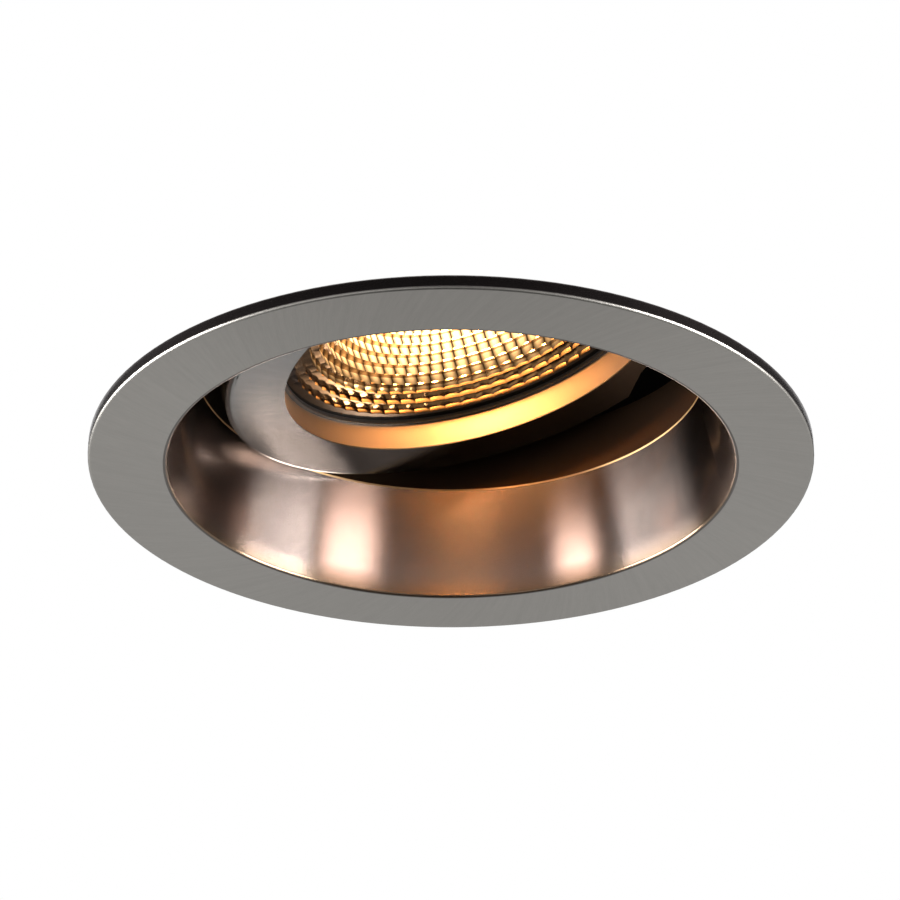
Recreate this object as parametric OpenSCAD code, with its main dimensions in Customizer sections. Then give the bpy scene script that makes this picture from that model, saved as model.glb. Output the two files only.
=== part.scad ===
// Round recessed ceiling spotlight with a tilting lamp, in millimetres.
// +Z points up into the ceiling. The origin is the centre of the flange's seat against the ceiling.
// The lamp tilts about the Y axis direction; its own parts are drawn straight, with their
// height measured up from the tilt ring's face, and are then tilted together.

/* [Lamp opening] */
// Diameter of the opening in the tilt ring's face
aperture_d = 65.2; // [64:0.2:68]
// Narrowing of the opening's wall towards the gasket, on the radius
aperture_taper = 0.3; // [0.1:0.1:0.6]
// Depth of the opening's wall
aperture_depth = 4.5; // [4:0.1:6]

/* [Tilt ring] */
// Width of the brushed face round the opening
ring_face_w = 10; // [9:0.1:11]
// Radius on the outer edge of the face
ring_edge_r = 1; // [0.6:0.1:1.4]
// Thickness of the ring behind its face
ring_t = 3; // [2.4:0.1:3.6]
// Height of the outer rim
ring_rim_h = 5; // [4:0.1:6]
// Wall of the outer rim
ring_rim_wall = 1.7; // [1.2:0.1:2.2]
// Height of the barrel that holds the reflector
barrel_h = 13.6; // [12:0.1:15]
// Wall of the barrel
barrel_wall = 2.7; // [2.2:0.1:3]

/* [Reflector] */
// Diameter of the hole for the light source
throat_d = 16; // [15:0.5:18]
// Depth of the mirror from its rim to the hole
mirror_depth = 18.5; // [17:0.5:21]
// Number of facets round the mirror
facet_columns = 64; // [48:4:72]
// Number of facets from the rim to the hole
facet_rows = 16; // [12:1:20]
// Wall of the reflector
reflector_wall = 1.2; // [1:0.1:1.6]
// Width of the flange that the reflector is clamped by
reflector_flange_w = 3.5; // [3:0.1:4]
// Thickness of the gasket between the tilt ring and the reflector
gasket_t = 0.8; // [0.6:0.1:1.2]

/* [Light source] */
// Diameter of the glowing disc
emitter_d = 13; // [10:0.5:13.4]
// Thickness of the glowing disc
emitter_t = 0.4; // [0.3:0.1:0.6]
// Side of the square board
board_w = 19; // [17:0.5:20]
// Thickness of the board
board_t = 1; // [0.8:0.1:1.4]
// Thickness of the thermal pad
pad_t = 0.3; // [0.2:0.1:0.5]
// Outer diameter of the holder
holder_d = 32; // [31:0.5:34]
// Height of the holder
holder_t = 2.5; // [2.4:0.1:3.5]

/* [Lamp housing and heat sink] */
// Wall of the housing round the reflector
housing_wall = 2; // [1.6:0.1:2.4]
// How far the ribs stand out from the housing
rib_w = 1; // [0.6:0.1:1.5]
// Thickness of the plate that carries the light source
plate_t = 4; // [3:0.5:6]
// Number of fins
fin_count = 18; // [12:6:18]
// Thickness of a fin
fin_t = 1.6; // [1.2:0.1:1.8]
// How far the fins stand out past the housing
fin_w = 3.5; // [2:0.1:4]
// Height of the fins above the plate
fin_h = 17; // [12:0.5:18]
// Diameter of the hub that the fins meet
hub_d = 14; // [12:0.5:18]

/* [Trim] */
// Height of the polished cone, from the flange's face to its inner edge
cone_h = 19.3; // [16:0.1:22]
// How much wider the cone is at the face than at its inner edge, on the radius
cone_flare = 4.1; // [3.4:0.1:5]
// Wall of the cone
cone_wall = 1.6; // [1.4:0.1:2]
// Width of the brushed flange
flange_w = 13; // [10:0.5:16]
// Thickness of the flange
flange_t = 2.4; // [2:0.1:3]
// Radius on the flange's edges
flange_edge_r = 0.5; // [0.3:0.1:0.8]
// Height of the skirt above the cone
skirt_h = 12; // [11:0.5:13]
// Wall of the skirt
skirt_wall = 1.8; // [1.5:0.1:2.2]

/* [Tilt] */
// Tilt of the lamp as it is drawn
tilt_angle = 14.7; // [-30:0.1:30]
// Height of the tilt axis above the tilt ring's face
axis_h = 14.8; // [14:0.1:16]
// Diameter of the pivot screws' shanks
pivot_shank_d = 4; // [4:0.1:5]
// Diameter of the lugs' round ends
lug_d = 14; // [12.5:0.5:16]
// Diameter of the bosses round the tilt axis
boss_d = 11; // [10:0.5:12]
// Diameter of the pivot washers
washer_d = 9; // [8:0.5:9.5]
// Thickness of the pivot washers
washer_t = 1.3; // [1:0.1:1.4]

/* [Ceiling clips] */
// Length of an arm from its pin to its end
arm_len = 34; // [28:0.5:36]
// Width of an arm at its pin
arm_w = 12; // [11.6:0.2:13]
// Width of an arm at its end
arm_tip_w = 9; // [7:0.5:10]
// Angle of an arm below level, where its heel stands against the bracket
arm_angle = 18; // [12:1:20]
// Height of the pins above the ceiling's face
pin_h = 16; // [16:0.5:18]
// Diameter of the pins
pin_d = 2; // [1.8:0.1:2.4]
// Thickness of the brackets' and arms' sheet
sheet_t = 0.8; // [0.6:0.1:1]
// Diameter of the springs' wire
wire_d = 0.8; // [0.6:0.1:0.9]
// Whole turns of a spring's coil
coil_turns = 5; // [4:1:5]
// Length of the soft sleeves
sleeve_len = 9; // [7:0.5:11]

/* [Hidden] */
$fn = 72;
overrun = 1;
cast_gap = 0.3;
ring_rest_gap = 2.9;
swing_gap = 0.7;
fit_gap = 0.05;
small_screw_d = 2.4;
small_head_d = 4.2;
small_head_h = 1.5;

// Lamp opening, tilt ring and barrel
aperture_r = aperture_d / 2;
gasket_step = 0.7;
gasket_r = aperture_r - aperture_taper - gasket_step;
mirror_step = 0.4;
mirror_r = gasket_r - mirror_step;
ring_r = aperture_r + ring_face_w;
flange_out_r = mirror_r + reflector_flange_w;
barrel_in_r = flange_out_r + cast_gap + cast_gap;
barrel_out_r = barrel_in_r + barrel_wall;

// Heights above the tilt ring's face
mirror_z = aperture_depth + gasket_t;
reflector_flange_t = 1.2;
flange_back_z = mirror_z + reflector_flange_t;
throat_z = mirror_z + mirror_depth;
holder_gap = 0.2;
plate_z = throat_z + holder_gap + holder_t;
plate_top_z = plate_z + plate_t;
board_z = plate_z - pad_t - board_t;

// Mirror curve
throat_r = throat_d / 2;
curve_share = 1.1;
outer_rows = 10;

// Housing, heat sink and their screws
housing_r = barrel_in_r - cast_gap;
fin_r = housing_r + fin_w;
rib_start_gap = 1.2;
rib_start_z = axis_h + boss_d / 2 + rib_start_gap;
plate_over = 1.5;
plate_r = housing_r + plate_over;
post_d = 6;
post_h = 9;
post_gap = 0.2;
post_r = housing_r - housing_wall / 2 - post_d / 2 - fit_gap;
post_angles = [60, 180, 300];
sink_screw_len = 10;
tab_d = 6.4;
tab_t = 2.6;
tab_out = 1.2;
tab_stand = 0.4;
tab_z = barrel_h + tab_stand;
tab_r = barrel_out_r + tab_out;
screw_d = 2.9;
screw_hole_gap = 0.05;
screw_head_d = 5.4;
screw_head_h = 2;
screw_depth = 8;
tab_angles = [0, 120, 240];
holder_screw_d = 2;
holder_head_d = 3.6;
holder_head_h = 0.8;
holder_screw_depth = 3;
grommet_r = 24;
// The inlet stands in the middle of a gap between two fins
grommet_gap_at = round(5 * fin_count / 18);
grommet_angle = 360 / fin_count * grommet_gap_at;
grommet_d = 6.4;
grommet_bore_d = 4.5;
grommet_hole_d = 5.4;
grommet_lip = 1;

// Trim
cone_top_r = ring_r + cast_gap;
opening_r = cone_top_r + cone_flare;
flange_r = opening_r + flange_w;
face_z = -flange_t;
cone_top_z = face_z + cone_h;
swing_r = sqrt(ring_r * ring_r + axis_h * axis_h);
skirt_in_r = swing_r + swing_gap;
skirt_out_r = skirt_in_r + skirt_wall;
shelf_t = 2;
skirt_top_z = cone_top_z + skirt_h;
axis_z = cone_top_z + ring_rest_gap + axis_h;

// Pivot
tip_step = 0.5;
pivot_tip_d = pivot_shank_d - tip_step;
boss_stand = 0.6;
boss_in_y = skirt_in_r - boss_stand;
boss_out_y = skirt_out_r + boss_stand;
ear_y = boss_in_y - washer_t - 2 * fit_gap;
ear_root_y = barrel_in_r + cast_gap;
tip_len = 4.8;
pivot_head_d = 7;
pivot_head_h = 2.2;
lug_foot_w = 26;
web_w = 8;

// Ceiling clips
pad_stand = 0.2;
clip_x = skirt_out_r + pad_stand;
coil_gap = 0.35;
coil_r = pin_d / 2 + coil_gap + wire_d / 2;
coil_room = 0.3;
pin_x = clip_x + sheet_t + coil_r + wire_d / 2 + coil_room;
plate_top_v = -(coil_r + wire_d / 2 + coil_room);
plate_low_v = plate_top_v - sheet_t;
bracket_gap = 0.2;
bracket_w = arm_w + 2 * (bracket_gap + sheet_t);
bracket_low = 9;
bracket_high = 12;
bracket_ear_h = 10;
knuckle_d = 4.4;
clip_screw_len = 2.2;
clip_screw_low = 6;
clip_screw_high = 9;
pad_w = 18;
pin_head_d = 3.2;
pin_head_h = 0.7;
turning_gap = 0.06;
heel_gap = 0.1;
// The arm's inner end stands against the bracket's sheet, as its stop
arm_heel = (plate_low_v * sin(arm_angle) - plate_top_v - heel_gap) / cos(arm_angle);
arm_ear_len = 9;
sleeve_w_over = 2;
sleeve_wall = 1.2;
sleeve_end = 1.5;
arm_hole_d = 4;
coil_space = 0.5;
leg_len = 9;
steps_a_turn = 8;
wire_sides = 6;
coil_pitch = wire_d + coil_space;
// The coil starts where its wire comes down the bracket and ends where it runs out along the arm
coil_sweep = 360 * coil_turns + 90 - arm_angle;
coil_w = coil_pitch * coil_sweep / 360;
coil_steps = round(steps_a_turn * coil_sweep / 360);
coil_end = 180 + coil_sweep;

// Places and colours

// Carries the lamp's parts from their own upright frame to the tilted one
module tilted() {
    translate([0, 0, axis_z])
        rotate([0, -tilt_angle, 0])
            translate([0, 0, -axis_h])
                children();
}

// Turns a piece drawn for the rear side, at +Y, to the front side
module front() {
    rotate([0, 0, 180])
        children();
}

// Turns a piece drawn for the right side, at +X, to the left side
module left() {
    rotate([0, 0, 180])
        children();
}

// A cylinder along Y from y0 to y1, with its axis on the tilt axis
module pivot_rod(d, y0, y1) {
    translate([0, y0, axis_z])
        rotate([-90, 0, 0])
            cylinder(h = y1 - y0, d = d);
}

// A flat ring of height h
module washer(outer_r, inner_r, h) {
    difference() {
        cylinder(h = h, r = outer_r);
        translate([0, 0, -overrun])
            cylinder(h = h + 2 * overrun, r = inner_r);
    }
}

// Trim

// Outline of the casting's outside: flange, cone wall, shelf and skirt
module trim_outside() {
    cone_foot_r = opening_r + cone_wall;
    cone_head_r = cone_top_r + cone_wall;
    e = flange_edge_r;
    rotate_extrude()
        union() {
            polygon([
                [0, face_z], [flange_r - e, face_z], [flange_r, face_z + e], [flange_r, -e / 2],
                [flange_r - e / 2, 0], [cone_foot_r, 0], [cone_head_r, cone_top_z - shelf_t],
                [skirt_out_r, cone_top_z - shelf_t], [skirt_out_r, skirt_top_z], [0, skirt_top_z]
            ]);
            translate([flange_r - e, face_z + e])
                circle(r = e, $fn = 48);
        }
}

// Space inside the casting: the cone with its rounded lip, and the skirt above the shelf
module trim_inside() {
    e = flange_edge_r;
    rotate_extrude()
        difference() {
            polygon([
                [0, face_z - overrun], [opening_r + e, face_z - overrun], [opening_r + e, face_z],
                [opening_r, face_z + e], [cone_top_r, cone_top_z], [skirt_in_r, cone_top_z],
                [skirt_in_r, skirt_top_z + overrun], [0, skirt_top_z + overrun]
            ]);
            translate([opening_r + e, face_z + e])
                circle(r = e, $fn = 48);
        }
}

// Lug that rises from the skirt at +Y and carries a pivot screw
module pivot_lug() {
    intersection() {
        translate([0, skirt_out_r + overrun, 0])
            rotate([90, 0, 0])
                linear_extrude(height = skirt_out_r)
                    union() {
                        translate([0, axis_z])
                            circle(d = lug_d);
                        polygon([
                            [-lug_foot_w / 2, cone_top_z], [lug_foot_w / 2, cone_top_z],
                            [lug_foot_w / 2, skirt_top_z - flange_t], [lug_d / 2, axis_z],
                            [-lug_d / 2, axis_z], [-lug_foot_w / 2, skirt_top_z - flange_t]
                        ]);
                    }
        cylinder(h = axis_z + lug_d, r = skirt_out_r);
    }
}

// Flat pad at +X that a clip's bracket is screwed to
module clip_pad_face() {
    translate([cone_top_r, -pad_w / 2, 0])
        cube([clip_x - cone_top_r, pad_w, skirt_top_z]);
}

module clip_screw_places() {
    for (z = [pin_h - clip_screw_low, pin_h + clip_screw_high])
        translate([clip_x, 0, z])
            rotate([0, 90, 0])
                children();
}

module trim_ring() {
    color("#9a9690")
        difference() {
            union() {
                trim_outside();
                for (turn = [0, 180])
                    rotate([0, 0, turn]) {
                        difference() {
                            pivot_lug();
                            cylinder(h = axis_z + lug_d, r = skirt_in_r);
                        }
                        clip_pad_face();
                    }
            }
            difference() {
                trim_inside();
                for (turn = [0, 180])
                    rotate([0, 0, turn])
                        pivot_rod(boss_d, boss_in_y, boss_out_y);
            }
            for (turn = [0, 180])
                rotate([0, 0, turn]) {
                    pivot_rod(pivot_shank_d + 2 * fit_gap, ear_y, skirt_out_r + overrun);
                    clip_screw_places()
                        translate([0, 0, -clip_screw_len - fit_gap])
                            cylinder(h = clip_screw_len + overrun, d = small_screw_d + 2 * fit_gap);
                }
        }
}

// Pivot

module pivot_screw() {
    socket_y = boss_out_y + pivot_head_h / 2;
    color("#b9b9b4")
        difference() {
            union() {
                pivot_rod(pivot_tip_d, ear_y - tip_len, socket_y);
                pivot_rod(pivot_shank_d, boss_in_y, socket_y);
                pivot_rod(pivot_head_d, boss_out_y, boss_out_y + pivot_head_h);
            }
            translate([0, socket_y, axis_z])
                rotate([-90, 0, 0])
                    cylinder(h = pivot_head_h, d = pivot_head_d / 2, $fn = 6);
        }
}

module pivot_washer() {
    color("#e8e6df")
        difference() {
            pivot_rod(washer_d, ear_y + fit_gap, boss_in_y - fit_gap);
            pivot_rod(pivot_tip_d + 4 * fit_gap, ear_y - overrun, boss_in_y + overrun);
        }
}

// Lamp

// Outline of the tilt ring, from the lamp opening's wall to the barrel
module tilt_ring_profile() {
    e = ring_edge_r;
    union() {
        polygon([
            [aperture_r, 0], [ring_r - e, 0], [ring_r, e], [ring_r, ring_rim_h],
            [ring_r - ring_rim_wall, ring_rim_h], [ring_r - ring_rim_wall, ring_t],
            [barrel_out_r, ring_t], [barrel_out_r, barrel_h], [barrel_in_r, barrel_h],
            [barrel_in_r, aperture_depth], [aperture_r - aperture_taper, aperture_depth]
        ]);
        translate([ring_r - e, e])
            circle(r = e, $fn = 48);
    }
}

// Ear at +Y with the bore that turns on a pivot screw's tip
module tilt_ear() {
    ear_top = axis_h - ring_t / 2;
    translate([0, ear_root_y, axis_h])
        rotate([-90, 0, 0])
            cylinder(h = ear_y - ear_root_y, d = boss_d);
    translate([-web_w / 2, ear_root_y + cast_gap, ring_t / 2])
        cube([web_w, ring_r - ring_rim_wall - ear_root_y, ear_top]);
}

module tilt_ring() {
    bore_len = tip_len + cast_gap;
    color("#8f8b85")
        tilted()
            difference() {
                union() {
                    rotate_extrude()
                        tilt_ring_profile();
                    for (turn = [0, 180])
                        rotate([0, 0, turn])
                            tilt_ear();
                    for (a = tab_angles)
                        rotate([0, 0, a])
                            translate([tab_r, 0, ring_t / 2])
                                cylinder(h = tab_z - ring_t / 2, d = tab_d);
                }
                for (turn = [0, 180])
                    rotate([0, 0, turn])
                        translate([0, ear_y - bore_len, axis_h])
                            rotate([-90, 0, 0])
                                cylinder(h = bore_len + overrun, d = pivot_tip_d + 2 * fit_gap);
                for (a = tab_angles)
                    rotate([0, 0, a])
                        translate([tab_r, 0, tab_z - screw_depth])
                            cylinder(h = screw_depth + overrun, d = screw_d + 2 * screw_hole_gap);
            }
}

module rim_gasket() {
    color("#1c1a18")
        tilted()
            translate([0, 0, aperture_depth])
                washer(flange_out_r, gasket_r, gasket_t);
}

// Height and radius of the mirror: s is 0 at the hole and 1 at the rim
function mirror_point(s, out) = [
    throat_r + (mirror_r - throat_r) * pow(s, curve_share) + out,
    throat_z - mirror_depth * s
];

// A closed outline turned about Z in flat facets; the outline runs anticlockwise, radius first
module faceted_turn(outline, columns) {
    rings = len(outline);
    points = [for (p = outline, j = [0 : columns - 1])
        [p[0] * cos(360 * j / columns), p[0] * sin(360 * j / columns), p[1]]];
    faces = [for (i = [0 : rings - 1], j = [0 : columns - 1])
        let (a = i * columns + j,
            b = i * columns + (j + 1) % columns,
            c = ((i + 1) % rings) * columns + (j + 1) % columns,
            d = ((i + 1) % rings) * columns + j)
        each [[a, d, c], [a, c, b]]];
    polyhedron(points = points, faces = faces);
}

module reflector() {
    inner = [for (i = [0 : facet_rows]) mirror_point(i / facet_rows, 0)];
    outer = [for (i = [outer_rows - 1 : -1 : 0])
        mirror_point(i / outer_rows, reflector_wall)];
    outline = concat(
        [[flange_out_r, mirror_z], [flange_out_r, flange_back_z],
            [mirror_r + reflector_wall, flange_back_z]],
        outer,
        inner
    );
    color("#d9c9a8")
        tilted()
            faceted_turn(outline, facet_columns);
}

module led_emitter() {
    color("#ffd27a")
        tilted()
            translate([0, 0, board_z - emitter_t])
                cylinder(h = emitter_t, d = emitter_d);
}

module led_board() {
    color("#e9e9e6")
        tilted()
            translate([-board_w / 2, -board_w / 2, board_z])
                cube([board_w, board_w, board_t]);
}

module holder_screw_places() {
    screw_r = (board_w / 2 + holder_d / 2) / 2;
    for (turn = [0, 180])
        rotate([0, 0, turn])
            translate([screw_r, 0, plate_z])
                children();
}

module led_holder() {
    pocket = board_w + 2 * holder_gap;
    color("#ece9e2")
        tilted()
            difference() {
                translate([0, 0, plate_z - holder_t])
                    cylinder(h = holder_t, d = holder_d);
                translate([0, 0, plate_z - holder_t - overrun])
                    cylinder(h = holder_t + 2 * overrun, d = emitter_d + 4 * holder_gap);
                translate([-pocket / 2, -pocket / 2, board_z])
                    cube([pocket, pocket, board_t + pad_t + overrun]);
                holder_screw_places() {
                    translate([0, 0, -holder_t - overrun])
                        cylinder(h = holder_t + 2 * overrun, d = holder_screw_d + 2 * fit_gap);
                    translate([0, 0, -holder_t - overrun])
                        cylinder(h = overrun + holder_head_h, d = holder_head_d + 2 * holder_gap);
                }
            }
}

module holder_screws() {
    color("#c4c2bc")
        tilted()
            holder_screw_places()
                union() {
                    translate([0, 0, -holder_t])
                        cylinder(h = holder_head_h, d = holder_head_d);
                    translate([0, 0, -holder_t])
                        cylinder(h = holder_t + holder_screw_depth, d = holder_screw_d);
                }
}

module thermal_pad() {
    color("#8fa3b0")
        tilted()
            translate([-board_w / 2, -board_w / 2, plate_z - pad_t])
                cube([board_w, board_w, pad_t]);
}

// Screw with a hexagon socket; the underside of its head is at height zero
module socket_screw(d, length, head_d, head_h) {
    difference() {
        union() {
            cylinder(h = head_h, d = head_d);
            translate([0, 0, -length])
                cylinder(h = length + head_h / 2, d = d);
        }
        translate([0, 0, head_h / 2])
            cylinder(h = head_h, d = head_d / 2, $fn = 6);
    }
}

module at_angles(angles, radius, height) {
    for (a = angles)
        rotate([0, 0, a])
            translate([radius, 0, height])
                children();
}

// Tube round the reflector, with ribs, three tabs outside and three screw posts inside
module lamp_housing() {
    wall_r = housing_r - housing_wall / 2;
    color("#b5b3ae")
        tilted()
            difference() {
                union() {
                    translate([0, 0, flange_back_z])
                        washer(housing_r, housing_r - housing_wall, plate_z - flange_back_z);
                    for (i = [0 : fin_count - 1])
                        rotate([0, 0, (i + 1 / 2) * 360 / fin_count])
                            translate([wall_r, -fin_t / 2, rib_start_z])
                                cube([housing_wall / 2 + rib_w, fin_t, plate_z - rib_start_z - rib_w]);
                    at_angles(tab_angles, tab_r, tab_z)
                        union() {
                            cylinder(h = tab_t, d = tab_d);
                            translate([wall_r - tab_r, -tab_d / 2, 0])
                                cube([tab_r - wall_r, tab_d, tab_t]);
                        }
                    at_angles(post_angles, post_r, plate_z - post_h - post_gap)
                        cylinder(h = post_h, d = post_d);
                }
                at_angles(tab_angles, tab_r, tab_z - overrun)
                    cylinder(h = tab_t + 2 * overrun, d = screw_d + 2 * screw_hole_gap);
                at_angles(post_angles, post_r, plate_z + plate_t - sink_screw_len - cast_gap)
                    cylinder(h = sink_screw_len, d = small_screw_d + 2 * fit_gap);
            }
}

module housing_screws() {
    color("#c4c2bc")
        tilted()
            at_angles(tab_angles, tab_r, tab_z + tab_t)
                socket_screw(screw_d, tab_t + screw_depth - cast_gap, screw_head_d, screw_head_h);
}

// One fin, from the hub out to the rim
module fin() {
    top = plate_top_z + fin_h;
    foot = plate_z + plate_t / 2;
    translate([0, fin_t / 2, 0])
        rotate([90, 0, 0])
            linear_extrude(height = fin_t)
                polygon([
                    [plate_r - plate_t / 2, foot], [plate_r - plate_t / 2, foot - plate_t / 4],
                    [fin_r, foot - plate_t / 4], [fin_r, plate_top_z], [fin_r - fin_h / 2, top],
                    [hub_d / 4, top], [hub_d / 4, foot]
                ]);
}

module heat_sink() {
    color("#aeaca7")
        tilted()
            difference() {
                union() {
                    translate([0, 0, plate_z])
                        cylinder(h = plate_t, r = plate_r);
                    for (i = [0 : fin_count - 1])
                        rotate([0, 0, (i + 1 / 2) * 360 / fin_count])
                            fin();
                    translate([0, 0, plate_top_z - plate_t / 2])
                        cylinder(h = fin_h, d = hub_d);
                }
                holder_screw_places()
                    translate([0, 0, -overrun])
                        cylinder(h = holder_screw_depth + cast_gap + overrun,
                            d = holder_screw_d + 2 * fit_gap);
                at_angles(post_angles, post_r, plate_z - overrun)
                    cylinder(h = plate_t + 2 * overrun, d = small_screw_d + 2 * fit_gap);
                at_angles([grommet_angle], grommet_r, plate_z - overrun)
                    cylinder(h = plate_t + 2 * overrun, d = grommet_hole_d);
            }
}

module heat_sink_screws() {
    color("#c4c2bc")
        tilted()
            at_angles(post_angles, post_r, plate_top_z)
                socket_screw(small_screw_d, sink_screw_len, small_head_d, small_head_h);
}

// Rubber inlet in the plate: a sleeve with a lip on both sides
module lead_grommet() {
    color("#23211f")
        tilted()
            rotate([0, 0, grommet_angle])
                translate([grommet_r, 0, plate_z - grommet_lip])
                    difference() {
                        union() {
                            cylinder(h = grommet_lip, d = grommet_d);
                            cylinder(h = plate_t + 2 * grommet_lip, d = grommet_hole_d);
                            translate([0, 0, plate_t + grommet_lip])
                                cylinder(h = grommet_lip, d = grommet_d);
                        }
                        translate([0, 0, -overrun])
                            cylinder(h = plate_t + 2 * (grommet_lip + overrun), d = grommet_bore_d);
                    }
}

// Ceiling clips, drawn for the right side, at +X

// A cylinder along Y, centred on the pin
module pin_rod(d, length) {
    translate([pin_x, length / 2, pin_h])
        rotate([90, 0, 0])
            cylinder(h = length, d = d);
}

module clip_bracket() {
    color("#c9c8c3")
        difference() {
            union() {
                translate([clip_x, -bracket_w / 2, pin_h - bracket_low])
                    cube([sheet_t, bracket_w, bracket_low + bracket_high]);
                for (y = [-bracket_w / 2 + sheet_t, bracket_w / 2])
                    translate([0, y, 0])
                        rotate([90, 0, 0])
                            linear_extrude(height = sheet_t)
                                union() {
                                    translate([pin_x, pin_h])
                                        circle(d = knuckle_d);
                                    polygon([
                                        [clip_x, pin_h - bracket_ear_h / 2],
                                        [pin_x, pin_h - knuckle_d / 2],
                                        [pin_x, pin_h + knuckle_d / 2],
                                        [clip_x, pin_h + bracket_ear_h / 2]
                                    ]);
                                }
            }
            pin_rod(pin_d + 2 * fit_gap, bracket_w + 2 * overrun);
            clip_screw_places()
                translate([0, 0, -overrun])
                    cylinder(h = sheet_t + 2 * overrun, d = small_screw_d + 2 * fit_gap);
        }
}

module clip_pin() {
    shank = bracket_w + 2 * fit_gap;
    color("#a9a8a3")
        union() {
            pin_rod(pin_d, shank + pin_head_h);
            for (side = [-1, 1])
                translate([0, side * (shank + pin_head_h) / 2, 0])
                    pin_rod(pin_head_d, pin_head_h);
        }
}

// Carries a point or piece from the arm's own frame, along U and V, to its place on the pin
module on_arm() {
    translate([pin_x, 0, pin_h])
        rotate([0, arm_angle, 0])
            children();
}

module clip_arm() {
    color("#cdccc7")
        on_arm()
            difference() {
                union() {
                    translate([0, 0, plate_low_v])
                        linear_extrude(height = sheet_t)
                            polygon([
                                [-arm_heel, -arm_w / 2], [arm_ear_len, -arm_w / 2],
                                [arm_len, -arm_tip_w / 2], [arm_len, arm_tip_w / 2],
                                [arm_ear_len, arm_w / 2], [-arm_heel, arm_w / 2]
                            ]);
                    for (y = [-arm_w / 2 + sheet_t, arm_w / 2])
                        translate([0, y, 0])
                            rotate([90, 0, 0])
                                linear_extrude(height = sheet_t)
                                    union() {
                                        circle(d = knuckle_d);
                                        polygon([
                                            [-arm_heel, plate_low_v], [arm_ear_len, plate_low_v],
                                            [arm_ear_len, plate_top_v], [knuckle_d / 2, 0],
                                            [-knuckle_d / 2, 0], [-arm_heel, plate_top_v]
                                        ]);
                                    }
                }
                rotate([90, 0, 0])
                    translate([0, 0, -arm_w])
                        cylinder(h = 2 * arm_w, d = pin_d + 2 * turning_gap);
                translate([(arm_ear_len + arm_len) / 2, 0, plate_low_v - overrun])
                    cylinder(h = sheet_t + 2 * overrun, d = arm_hole_d);
            }
}

// Soft sleeve pushed over the arm's end, with rounded edges
module clip_pad() {
    sleeve_w = arm_w - sleeve_w_over / 2;
    start = arm_len - sleeve_len + sleeve_end;
    mid_v = (plate_top_v + plate_low_v) / 2;
    sleeve_r = sheet_t / 2 + sleeve_wall;
    color("#d8d6ce")
        on_arm()
            difference() {
                translate([0, sleeve_w / 2, 0])
                    rotate([90, 0, 0])
                        linear_extrude(height = sleeve_w)
                            union() {
                                translate([start + sleeve_r, mid_v])
                                    circle(r = sleeve_r);
                                translate([start + sleeve_len - sleeve_r, mid_v])
                                    circle(r = sleeve_r);
                                translate([start + sleeve_r, mid_v - sleeve_r])
                                    square([sleeve_len - 2 * sleeve_r, 2 * sleeve_r]);
                            }
                translate([0, 0, plate_low_v - fit_gap])
                    linear_extrude(height = sheet_t + 2 * fit_gap)
                        polygon([
                            [start - overrun, -arm_w / 2], [arm_len + fit_gap, -arm_tip_w / 2 - fit_gap],
                            [arm_len + fit_gap, arm_tip_w / 2 + fit_gap], [start - overrun, arm_w / 2]
                        ]);
            }
}

module clip_screws() {
    color("#b9b9b4")
        for (turn = [0, 180])
            rotate([0, 0, turn])
                clip_screw_places()
                    translate([0, 0, sheet_t])
                        socket_screw(small_screw_d, clip_screw_len + sheet_t, small_head_d, small_head_h);
}

// Torsion spring round the pin: one leg up the bracket, the other out along the arm's plate

// A point of the wire's path with the way it runs and the way out from the pin
function coil_at(angle) = [
    [coil_r * cos(angle), coil_w * ((angle - 180) / coil_sweep - 1 / 2), coil_r * sin(angle)],
    [-sin(angle), coil_pitch / (2 * PI * coil_r), cos(angle)],
    [cos(angle), 0, sin(angle)]
];

function leg_point(angle, way, along) =
    let (at = coil_at(angle), run = [at[1][0], 0, at[1][2]])
    [at[0] + way * along * run, run, at[2]];

wire_path = concat(
    [leg_point(180, -1, leg_len), leg_point(180, -1, wire_d)],
    [for (i = [0 : coil_steps]) coil_at(180 + coil_sweep * i / coil_steps)],
    [leg_point(coil_end, 1, wire_d), leg_point(coil_end, 1, leg_len)]
);

// A round wire along a path of [point, way it runs, way out]
module swept_wire(path, d, sides) {
    last = len(path) - 1;
    points = [for (s = path)
        let (run = s[1] / norm(s[1]), side = cross(run, s[2]))
        for (k = [0 : sides - 1])
            s[0] + d / 2 * (cos(360 * k / sides) * s[2] + sin(360 * k / sides) * side)];
    walls = [for (i = [0 : last - 1], k = [0 : sides - 1])
        let (a = i * sides + k,
            b = i * sides + (k + 1) % sides,
            c = (i + 1) * sides + (k + 1) % sides,
            e = (i + 1) * sides + k)
        each [[a, c, b], [a, e, c]]];
    caps = [for (k = [1 : sides - 2])
        each [[0, k, k + 1], [last * sides, last * sides + k + 1, last * sides + k]]];
    polyhedron(points = points, faces = concat(walls, caps));
}

// Least gap between turns of the coil, measured on the points of its path
coil_gaps = [for (i = [2 : coil_steps + 2], j = [i + steps_a_turn / 2 : coil_steps + 2])
    norm(wire_path[i][0] - wire_path[j][0]) - wire_d];
echo(least_gap_in_spring = min(coil_gaps));

module clip_spring() {
    color("#8d8c88")
        translate([pin_x, 0, pin_h])
            swept_wire(wire_path, wire_d, wire_sides);
}

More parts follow.
